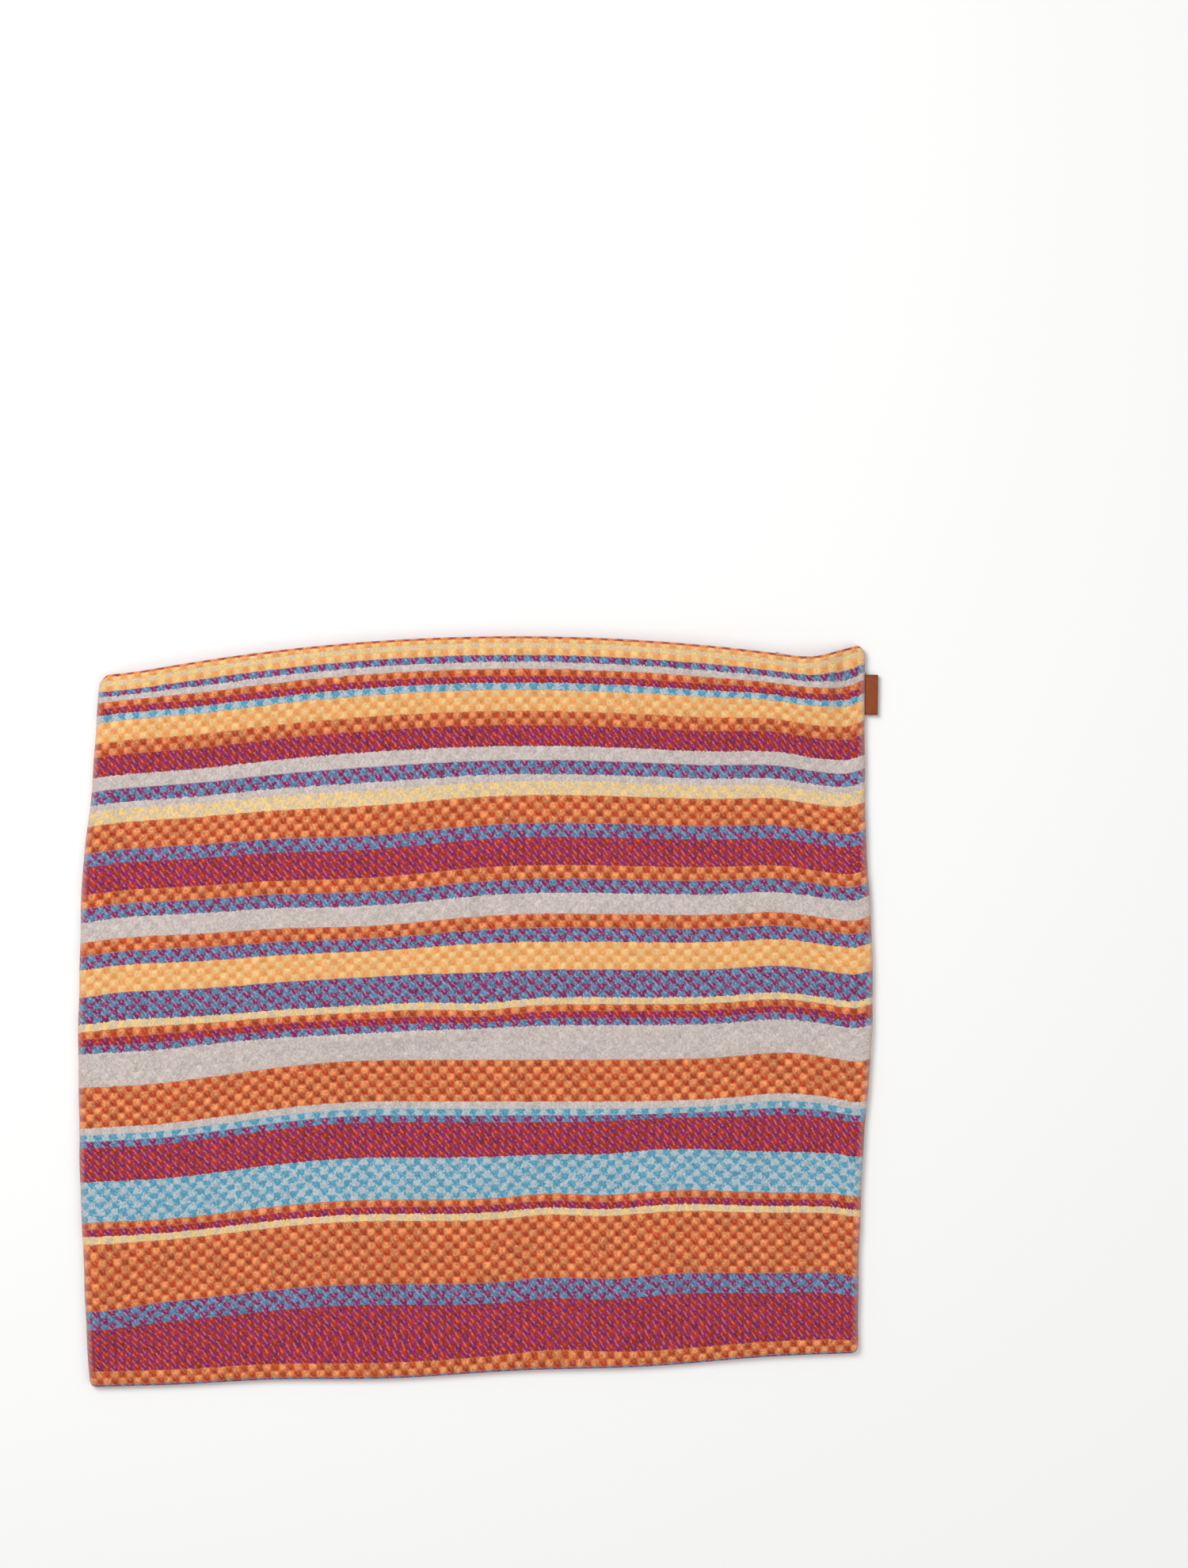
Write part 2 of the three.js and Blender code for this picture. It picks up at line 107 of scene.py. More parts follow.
COLUMNS = 101
ROWS = 107
ROLL_PITCH = 3.4 * MM  # rows lie closer together round the roll
LAST_ROW = 106  # the rest turns under at the foot
FOOT_TURN = 1.8 * MM
ROLL_ROW = 2.83  # row at the inner end of the roll's section

# Each stripe is a pair of yarns: the first shows on even cells and the second on odd cells.
YARN = {
    "rust": "#b83c10",
    "brick": "#b32c1c",
    "apricot": "#f0965e",
    "magenta": "#8b1c61",
    "blue": "#5588ac",
    "teal": "#509cba",
    "orange": "#ee9f58",
    "yellow": "#f6c888",
    "straw": "#f1cf8a",
    "beige": "#dcc4a6",
    "grey": "#cbbeb9",
    "silver": "#d2c5c0",
    "ash": "#b4c4cc",
}
PAIRS = {
    "RA": ("rust", "apricot"),
    "MR": ("magenta", "brick"),
    "BM": ("blue", "magenta"),
    "OY": ("orange", "yellow"),
    "YG": ("straw", "beige"),
    "TG": ("ash", "teal"),
    "GR": ("grey", "silver"),
}
# Pale binding yarn that shows between the cells of each pair, and how strongly
BINDER = {
    "RA": ("#f2b088", 0.3),
    "MR": ("#e89078", 0.6),
    "BM": ("#cdb2c8", 0.6),
    "OY": ("#f8dcae", 0.2),
    "YG": ("#e2d2bd", 0.2),
    "TG": ("#d3dadb", 0.2),
    "GR": ("#ddd3ca", 0.1),
}
# Contrast of the yarns inside the cells of each pair. Half of it travels as the alpha of the odd colour.
GRAIN = {"RA": 1.15, "MR": 1.15, "BM": 1.0, "OY": 0.55, "YG": 0.4, "TG": 0.5, "GR": 0.6}
REVERSE_STRIPES = (
    "RA1 OY1 YG1 OY1 BM1 GR1 RA1 MR1 TG1 OY3 RA2 MR3 GR2 BM2 GR1 YG2 RA4 BM2 MR4 RA2 BM2 GR3 RA2 "
    "BM2 OY4 BM4 YG1 RA1 MR1 BM1 GR5 RA6 GR1 TG1 BM1 MR5 TG6 RA1 MR1 YG1 RA9 BM3 MR7 RA2 BM1"
)
FACE_STRIPES = (
    "BM8 GR2 RA9 GR7 BM2 MR3 RA2 YG3 BM7 OY8 BM1 RA2 YG9 BM2 RA2 MR7 BM3 RA9 YG1 MR1 RA1 TG6 "
    "MR5 BM1 TG1 GR1 RA4"
)

# Slow drift of the rows of the reverse panel, as it was laid: middle and half width along X in metres, first
# and last row, rows over which it fades, and how far the rows move towards the zip edge.
DRIFTS = (
    (-0.262, 0.045, 2, 57, 5, 4.5 * MM),
    (-0.075, 0.075, 16, 50, 12, -4.8 * MM),
    (0.238, 0.040, 2, 78, 12, 5.0 * MM),
    (0.005, 0.034, 47, 59, 5, -3.4 * MM),
    (-0.095, 0.085, 60, 103, 2.5, 6.6 * MM),
    (0.145, 0.052, 69, 104, 4, 5.0 * MM),
    (0.052, 0.036, 74.5, 106, 3, 4.0 * MM),
    (-0.300, 0.040, 82, 104, 10, -6.0 * MM),
    (0.292, 0.018, 3, 105, 2, -5.0 * MM),
)

# Folds and dents of the field: middle, direction in degrees from +X, half length, half width, height
FOLDS = (
    ((-0.003, 0.110), 90, 0.075, 0.004, 2.38 * MM),
    ((0.025, 0.112), 90, 0.075, 0.005, 2.24 * MM),
    ((0.060, -0.100), 44, 0.036, 0.006, 2.66 * MM),
    ((0.020, -0.178), 50, 0.028, 0.005, 2.24 * MM),
    ((-0.233, -0.039), 58, 0.016, 0.004, 1.82 * MM),
    ((-0.070, -0.018), 2, 0.075, 0.006, 2.38 * MM),
    ((0.130, -0.080), 6, 0.060, 0.008, 1.54 * MM),
    ((-0.150, 0.120), 20, 0.110, 0.040, 2.80 * MM),
    ((0.180, 0.060), -25, 0.090, 0.035, 2.52 * MM),
    ((-0.120, -0.170), -12, 0.120, 0.040, 2.52 * MM),
    ((0.170, -0.190), 24, 0.090, 0.034, 2.38 * MM),
    ((0.060, 0.190), 4, 0.130, 0.026, 2.24 * MM),
)


def mix(a, b, t):
    return a + (b - a) * t


def ease(t):
    t = np.clip(t, 0, 1)
    return t * t * (3 - 2 * t)


# ---- Outline of the cover, seen from above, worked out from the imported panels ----


def tree_of(node):
    mesh = frame["nodes"][node].data
    corners = [v.co.copy() for v in mesh.vertices]
    return BVHTree.FromPolygons(corners, [p.vertices[:] for p in mesh.polygons])


TREES = [tree_of("face_panel"), tree_of("reverse_panel")]
HEIGHTS = np.linspace(0.5 * MM, 2 * ZIP_Z - 0.5 * MM, 16)
FAR = 1.0


def outermost(origin, direction):
    """Distance from a far origin to the first wall of either panel, over all heights."""
    start = Vector(origin) - FAR * Vector(direction)
    starts = [start + Vector((0, 0, z)) for z in HEIGHTS]
    hits = [tree.ray_cast(place, Vector(direction))[3] for tree in TREES for place in starts]
    return min(hit for hit in hits if hit is not None) - FAR


def edge_line(stations, origin_at, direction, sign, smoothing=5):
    """A smooth function from station to the outline's place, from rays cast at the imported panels."""
    found = np.array([sign * outermost(origin_at(s), direction) for s in stations])
    before_it = 2 * found[0] - found[smoothing:0:-1]
    after_it = 2 * found[-1] - found[-2:-smoothing - 2:-1]
    padded = np.concatenate([before_it, found, after_it])
    window = np.hanning(2 * smoothing + 3)[1:-1]
    smooth = np.convolve(padded, window / window.sum(), "valid")
    slope_low = (smooth[1] - smooth[0]) / (stations[1] - stations[0])
    slope_high = (smooth[-1] - smooth[-2]) / (stations[-1] - stations[-2])

    def place(at):
        inside = np.interp(at, stations, smooth)
        before = np.minimum(np.asarray(at) - stations[0], 0) * slope_low
        after = np.maximum(np.asarray(at) - stations[-1], 0) * slope_high
        return inside + before + after

    return place


LOW, HIGH = REVERSE_BOX
INSET = 14 * MM  # rays start this far inside the corners, or more where the neighbouring edge slants
SIDE_STATIONS = np.linspace(-0.262, 0.245, 90)
FOOT_STATIONS = np.linspace(LOW.x + INSET, HIGH.x - 2.5 * INSET, 90)
HEAD_STATIONS = np.linspace(LOW.x + 2.6 * INSET, HIGH.x - INSET, 120)
even_left_x = edge_line(SIDE_STATIONS, lambda y: (0, y, 0), (1, 0, 0), 1)
right_x = edge_line(SIDE_STATIONS, lambda y: (0, y, 0), (-1, 0, 0), -1)
even_foot_y = edge_line(FOOT_STATIONS, lambda x: (x, 0, 0), (0, 1, 0), 1)
head_rise = edge_line(HEAD_STATIONS, lambda x: (x, 0, 0), (0, -1, 0), -1, smoothing=3)


def left_x(y):
    """The left edge is drawn in a little towards the zip edge."""
    return even_left_x(y) + LEFT_DRAWN * ease((np.asarray(y) - LEFT_FROM) / LEFT_FADE)


def foot_y(x):
    """The foot edge is drawn up a little between its corners, in slow ripples."""
    ripple = 1 + 0.6 * np.sin(np.asarray(x) / FOOT_RIPPLE + 0.8)
    return even_foot_y(x) + FOOT_DRAWN * ripple * ease((x - LOW.x) / FOOT_FADE)


def arc_y(x, n=0.0):
    """Y of the line that runs n outside the arc of the zip, with the corners' lift."""
    return head_rise(x) - ROLL_OUT + n


def flank(x, y):
    """Distance to the nearer side edge."""
    return np.minimum(x - left_x(y), right_x(y) - x)


# ---- Heights of the two panels ----


def seam_band(distance):
    """1 in the doubled cloth along a plain seam, 0 further in."""
    return 1 - ease((distance - SEAM_BAND) / SEAM_FADE)


def crest(x, y):
    """1 along the zip edge, 0 in the field and along the sides."""
    rise = 1 - ease((arc_y(x) - y - CREST_BAND) / CREST_FADE)
    return rise * (1 - seam_band(flank(x, y)))


def ridge(x, y, fold):
    """Height of one fold of the list."""
    (at_x, at_y), turn, long, wide, height = fold
    c, s = math.cos(math.radians(turn)), math.sin(math.radians(turn))
    along = ((x - at_x) * c + (y - at_y) * s) / long
    across = ((y - at_y) * c - (x - at_x) * s) / wide
    return height * np.exp(-(along**2) - across**2)


def puff(x, y):
    """How far the reverse panel stands off the face panel: its folds, and a slow swell."""
    swell = SWELL * (1 + np.sin(x / SWELL_ALONG_X + 1.3) * np.cos(y / SWELL_ALONG_Y + 0.4))
    return swell + sum(ridge(x, y, fold) for fold in FOLDS)


def heights(side, x, y):
    """Outer and inner height of a panel: side is 1 for the reverse panel and -1 for the face panel."""
    inset = np.minimum(flank(x, y), y - foot_y(x))
    rise, band = crest(x, y), seam_band(inset)
    middle = mix(SEAM_Z, ZIP_Z, rise)
    if side < 0:
        inner = mix(mix(CLOTH, ZIP_Z - HOLLOW, rise), middle - SEAM_GAP, band)
        return 0 * x, inner
    free = puff(x, y) * (1 - rise) * (1 - band)
    inner = mix(mix(FIELD_LOW, ZIP_Z + HOLLOW, rise), middle + SEAM_GAP, band) + free
    outer = mix(mix(FIELD_TOP, 2 * ZIP_Z, rise), 2 * middle, band) + free
    return outer, inner


def rounding(distance):
    """Share of a panel's thickness that is left this far from its sewn edge."""
    t = 1 - np.clip(distance / EDGE_ROUND, 0, 1)
    return np.sqrt(np.clip(1 - t * t, 0, 1))


# ---- The panels ----

# Section of the rolled zip edge in millimetres, from the lip at the slot to the field: outwards from the
# arc of the zip, and up from the zip's middle
LIP_OUT = 0.9
LIP_UP = 0.62
ROLL_KNOTS = (
    (LIP_OUT, LIP_UP), (2.3, LIP_UP), (2.85, 1.0), (2.9, 2.2), (3.6, 2.75), (5.1, 3.1),
    (6.1, 3.9), (6.05, 5.4), (4.9, 6.8), (2.4, 7.5), (-2.0, 7.6),
)
ROLL_STEPS = 30  # points of the section, once it is rounded
CELL_STEPS = 3  # mesh rows to a row of cells
FIRST_ROW = 3  # of the field
INNER_EVERY = 8  # outer lines to a line of the inner cloth
FOOT_STEPS = 7  # lines round the turn at the foot, which starts 50 degrees down


def rounded(points, passes=3):
    """Cuts the corners of an open line of points."""
    line = np.array(points, float)
    for _ in range(passes):
        near, far = mix(line[:-1], line[1:], 0.25), mix(line[:-1], line[1:], 0.75)
        inner = np.stack([near, far], 1).reshape(-1, line.shape[1])
        line = np.concatenate([line[:1], inner[1:-1], line[-1:]])
    return line


def lengths_along(line):
    """Distance from the first point of a line to each of its points."""
    return np.concatenate([[0], np.cumsum(np.linalg.norm(np.diff(line, axis=0), axis=1))])


def resampled(line, count):
    """Evenly spaced points along a line, and its length."""
    lengths = lengths_along(line)
    at = np.linspace(0, lengths[-1], count)
    return np.stack([np.interp(at, lengths, line[:, k]) for k in range(line.shape[1])], 1), lengths[-1]


def drift(x, row):
    """How far a row of the reverse panel lies from its even place, towards the zip edge."""
    total = 0 * x
    for middle, reach, first, last, fade, rise in DRIFTS:
        along = ease((row - first) / fade) * ease((last - row) / fade)
        total = total + rise * along * np.exp(-(((x - middle) / reach) ** 2))
    return total


def tucked(x, y):
    """Rounds the four corners of the cover, and lets its side edges wander a little."""
    aside = np.where(x > 0.5 * (left_x(y) + right_x(y)), 1, -1)
    settle = np.exp(-np.maximum(flank(x, y), 0) / SIDE_REACH)
    waves = 1 + np.sin(y / SIDE_WAVES[0] + aside) * np.cos(y / SIDE_WAVES[1])
    x = x - aside * settle * SIDE_WANDER * waves
    for reach, inset, away in (
        (CORNER_HEAD, arc_y(x, ROLL_OUT) - y, 1),
        (CORNER_FOOT, y - foot_y(x), -1),
    ):
        a = np.clip(1 - flank(x, y) / reach, 0, 1)
        b = np.clip(1 - inset / reach, 0, 1)
        x = x + aside * reach * a * (np.sqrt(1 - b * b / 2) - 1)
        y = y + away * reach * b * (np.sqrt(1 - a * a / 2) - 1)
    return x, y


def column_stops():
    """Places of the mesh's columns, in cells: two to a cell, and close together on the rounded edges."""
    cell = (right_x(0.0) - left_x(0.0)) / COLUMNS
    round_off = [EDGE_ROUND * (1 - math.cos(math.radians(turn))) / cell for turn in range(0, 90, 15)]
    inner = [k / 2 for k in range(2, 2 * COLUMNS - 1)]
    return np.array(round_off + inner + [COLUMNS - stop for stop in reversed(round_off)])


def on_field(side, columns, rows):
    """X and Y of the panel where a column and a row cross."""
    share = columns / COLUMNS
    y = mix(arc_y(0.0), foot_y(0.0), rows / ROWS) + 0 * share
    for _ in range(4):
        x = left_x(y) + share * (right_x(y) - left_x(y))
        top = arc_y(x, ROLL_IN)
        low = foot_y(x) + FOOT_TURN
        y = mix(top, low, (rows - ROLL_ROW) / (LAST_ROW - ROLL_ROW))
        if side > 0:
            y = y + drift(x, rows)
    return x, y


def panel_grid(side):
    """Points and weave coordinates of a panel's outer cloth, from the lip over the roll to the foot, then
    the points of its inner cloth. Also the outer line that each inner line lies under."""
    stops = column_stops()
    section, length = resampled(rounded(ROLL_KNOTS), ROLL_STEPS)
    length *= MM
    outer, weave, inner, under = [], [], [], []

    def add_line(points, row):
        outer.append(points)
        weave.append(np.stack([stops, np.full(len(stops), row)], 1))

    # The roll at the zip edge, thinner towards its sewn ends
    x_end, y_end = on_field(side, stops, np.full(len(stops), ROLL_ROW))
    z_end, _ = heights(side, x_end, y_end)
    inset = np.minimum(stops, COLUMNS - stops) / COLUMNS * (right_x(y_end) - left_x(y_end))
    share = rounding(inset)
    tall = mix(1, SEAM_Z / ZIP_Z, seam_band(inset))
    middle = ZIP_Z * tall
    turn = (x_end - PIVOT.x) / ARC_RADIUS * (1 - seam_band(inset))

    def roll_line(n, height):
        reach = ROLL_IN + (n - ROLL_IN) * share
        x = x_end + reach * np.sin(turn)
        return np.stack([x, y_end + reach - ROLL_IN, middle + side * height], 1)

    for (n, z), path in zip(section[:-1] * MM, np.linspace(0, length, ROLL_STEPS)):
        height = z / ZIP_Z * abs(z_end - middle) * share
        row = ROLL_ROW - (length - path) / ROLL_PITCH
        add_line(roll_line(n, np.maximum(height, SEAM_GAP * 0.8)), row)
    height = np.minimum(HOLLOW, tall * HOLLOW) * share
    inner.append(roll_line((LIP_OUT - 0.1) * MM, np.maximum(height, SEAM_GAP * 0.7)))
    under.append(6)

    def field_line(rows, foot_shift=None):
        x, y = on_field(side, stops, np.full(len(stops), rows))
        if foot_shift is not None:
            y = foot_y(x) + foot_shift
        high, low = heights(side, x, y)
        keep = rounding(np.minimum(flank(x, y), y - foot_y(x)))
        pillow = np.abs(np.sin(math.pi * stops)) * abs(math.sin(math.pi * rows))
        z = low + (high - low) * keep + side * PILLOW * (pillow - 1) * keep
        if side < 0:
            z = np.maximum(z, 0)
        return np.stack([x, y, z], 1), np.stack([x, y, low], 1)

    field_rows = np.arange(FIRST_ROW * CELL_STEPS, LAST_ROW * CELL_STEPS + 1) / CELL_STEPS
    for index, row in enumerate([ROLL_ROW, *field_rows]):
        top, below = field_line(row)
        add_line(top, row)
        if index % INNER_EVERY == 0:
            inner.append(below)
            under.append(len(outer) - 1)
    for number, angle in enumerate(np.radians(np.linspace(50, 0, FOOT_STEPS))):
        top, below = field_line(LAST_ROW, EDGE_ROUND * (1 - math.cos(angle)))
        add_line(top, LAST_ROW + (number + 1) / FOOT_STEPS)
    inner.append(below - side * np.array([0, 0, 0.02 * MM]))
    under.append(len(outer) - 1)
    return np.array(outer), np.array(weave), np.array(inner), under


def build(name, points, faces, smooth=True):
    mesh = bpy.data.meshes.new(name)
    mesh.from_pydata([tuple(p) for p in points], [], [tuple(f) for f in faces])
    mesh.validate()
    mesh.shade_smooth() if smooth else mesh.shade_flat()
    piece = bpy.data.objects.new(name, mesh)
    bpy.context.scene.collection.objects.link(piece)
    return piece


def carry_weave(piece, values):
    """Gives each point its place in the weave, which the materials read."""
    attribute = piece.data.attributes.new("weave", "FLOAT_VECTOR", "POINT")
    attribute.data.foreach_set("vector", np.array(values, np.float32).ravel())


def face_outwards(piece):
    shell = bmesh.new()
    shell.from_mesh(piece.data)
    bmesh.ops.recalc_face_normals(shell, faces=shell.faces)
    shell.to_mesh(piece.data)
    shell.free()


def cloth_panel(name, side):
    """One closed piece of cloth: side is 1 for the reverse panel and -1 for the face panel."""
    outer, weave, inner, under = panel_grid(side)
    lines, across = outer.shape[:2]
    points = np.concatenate([outer.reshape(-1, 3), inner.reshape(-1, 3)])
    points[:, 0], points[:, 1] = tucked(points[:, 0], points[:, 1])
    faces = []

    def at_outer(line, column):
        return line * across + column

    def at_inner(line, column):
        return (lines + line) * across + column

    for line in range(lines - 1):
        for column in range(across - 1):
            faces.append((at_outer(line, column), at_outer(line + 1, column),
                          at_outer(line + 1, column + 1), at_outer(line, column + 1)))
    last = len(inner) - 1
    for line in range(last):
        for column in range(across - 1):
            faces.append((at_inner(line, column), at_inner(line, column + 1),
                          at_inner(line + 1, column + 1), at_inner(line + 1, column)))
    for column in range(across - 1):
        faces.append((at_outer(0, column), at_outer(0, column + 1),
                      at_inner(0, column + 1), at_inner(0, column)))
        faces.append((at_outer(lines - 1, column + 1), at_outer(lines - 1, column),
                      at_inner(last, column), at_inner(last, column + 1)))
    spans = [(0, under[0], None)] + [(under[k], under[k + 1], k) for k in range(last)]
    for column in (0, across - 1):
        for first, final, k in spans:
            rim = [at_outer(line, column) for line in range(first, final + 1)]
            back = [at_inner(0, column)] if k is None else [at_inner(k + 1, column), at_inner(k, column)]
            faces.append(rim + back)
    piece = build(name, points, faces)
    face_outwards(piece)
    flat = np.concatenate([weave.reshape(-1, 2), weave[under].reshape(-1, 2)])
    carry_weave(piece, np.pad(flat, ((0, 0), (0, 1))))
    return piece


# ---- Material graphs ----


def linear(hexcode):
    """Linear colour of an sRGB hex code."""
    parts = [int(hexcode[k:k + 2], 16) / 255 for k in (1, 3, 5)]
    return tuple(c / 12.92 if c <= 0.04045 else ((c + 0.055) / 1.055) ** 2.4 for c in parts)


class Graph:
    """A material whose nodes are made by short calls; sockets and numbers both serve as inputs."""

    def __init__(self, name, **surface):
        self.material = bpy.data.materials.new(name)
        self.material.use_nodes = True
        self.tree = self.material.node_tree
        self.shader = next(n for n in self.tree.nodes if n.type == "BSDF_PRINCIPLED")
        for socket, value in surface.items():
            self.shader.inputs[socket.replace("_", " ").title().replace("Ior", "IOR")].default_value = value

    def put(self, socket, value):
        """Links a socket into another, or sets its value; one number fills all parts of a vector."""
        if isinstance(value, bpy.types.NodeSocket):
            self.tree.links.new(value, socket)
        elif value is not None:
            wide = hasattr(socket.default_value, "__len__") and not hasattr(value, "__len__")
            socket.default_value = [value] * len(socket.default_value) if wide else value

    def node(self, kind, inputs=(), **settings):
        made = self.tree.nodes.new("ShaderNode" + kind)
        for key, value in settings.items():
            setattr(made, key, value)
        for key, value in dict(inputs).items():
            self.put(made.inputs[key], value)
        return made

    def math(self, operation, a, b=None):
        return self.node("Math", {0: a, 1: b}, operation=operation).outputs[0]

    def add(self, a, b):
        return self.math("ADD", a, b)

    def sub(self, a, b):
        return self.math("SUBTRACT", a, b)

    def mul(self, a, b):
        return self.math("MULTIPLY", a, b)

    def floor(self, a):
        return self.math("FLOOR", a)

    def fract(self, a):
        return self.math("FRACT", a)

    def wave(self, a):
        """0 at whole numbers and 1 halfway between, in straight lines."""
        return self.math("PINGPONG", self.mul(a, 2), 1.0)

    def sine(self, a):
        return self.math("SINE", a)

    def span(self, value, low, high, to_low=0.0, to_high=1.0):
        inputs = {"Value": value, "From Min": low, "From Max": high, "To Min": to_low, "To Max": to_high}
        return self.node("MapRange", inputs).outputs["Result"]

    def vector(self, x, y, z=0.0):
        return self.node("CombineXYZ", {"X": x, "Y": y, "Z": z}).outputs[0]

    def parts(self, vector):
        return self.node("SeparateXYZ", {0: vector}).outputs

    def attribute(self, name):
        return self.node("Attribute", attribute_name=name).outputs["Vector"]

    def noise(self, vector, scale, detail=2.0, roughness=0.55):
        inputs = {"Vector": vector, "Scale": scale, "Detail": detail, "Roughness": roughness}
        return self.node("TexNoise", inputs).outputs["Fac"]

    def cell_noise(self, x, y):
        place = self.vector(x, y)
        return self.node("TexWhiteNoise", {"Vector": place}, noise_dimensions="2D").outputs["Value"]

    def blend(self, share, a, b):
        mixer = self.node("Mix", data_type="RGBA")
        self.put(mixer.inputs["Factor"], share)
        self.put(mixer.inputs[6], a)
        self.put(mixer.inputs[7], b)
        return mixer.outputs[2]

    def tone(self, colour, value):
        """The colour made lighter or darker by a factor."""
        factor = self.vector(value, value, value)
        return self.node("VectorMath", {0: colour, 1: factor}, operation="MULTIPLY").outputs[0]

    def bump(self, height, strength, distance):
        return self.node("Bump", {"Height": height, "Strength": strength, "Distance": distance}).outputs[0]

    def finish(self, colour=None, roughness=None, normal=None):
        for key, value in {"Base Color": colour, "Roughness": roughness, "Normal": normal}.items():
            self.put(self.shader.inputs[key], value)
        return self.material

    def object_place(self):
        return self.node("TexCoord").outputs["Object"]


def rgba(hexcode, alpha=1.0):
    return (*linear(hexcode), alpha)


MOST_STOPS = 30  # of one colour ramp


def stepped(graph, row, bands):
    """Colour and alpha of the band that a row is in. Bands are (rows, colour with alpha), top to bottom."""
    starts = [0, *np.cumsum([count for count, _ in bands])]
    colour = alpha = None
    for first in range(0, len(bands), MOST_STOPS):
        part = bands[first:first + MOST_STOPS]
        ramp = graph.node("ValToRGB", {"Fac": graph.math("DIVIDE", row, float(ROWS))})
        ramp.color_ramp.interpolation = "CONSTANT"
        stops = ramp.color_ramp.elements
        for number, (_, value) in enumerate(part):
            place = starts[first + number] / ROWS
            stop = stops[number] if number < 2 else stops.new(place)
            stop.position = place
            stop.color = value
        if colour is None:
            colour, alpha = ramp.outputs
        else:
            beyond = graph.math("GREATER_THAN", row, float(starts[first]))
            colour = graph.blend(beyond, colour, ramp.outputs[0])
            alpha = mix_values(graph, beyond, alpha, ramp.outputs[1])
    return colour, alpha


def mix_values(graph, share, a, b):
    return graph.add(graph.mul(graph.sub(1.0, share), a), graph.mul(share, b))


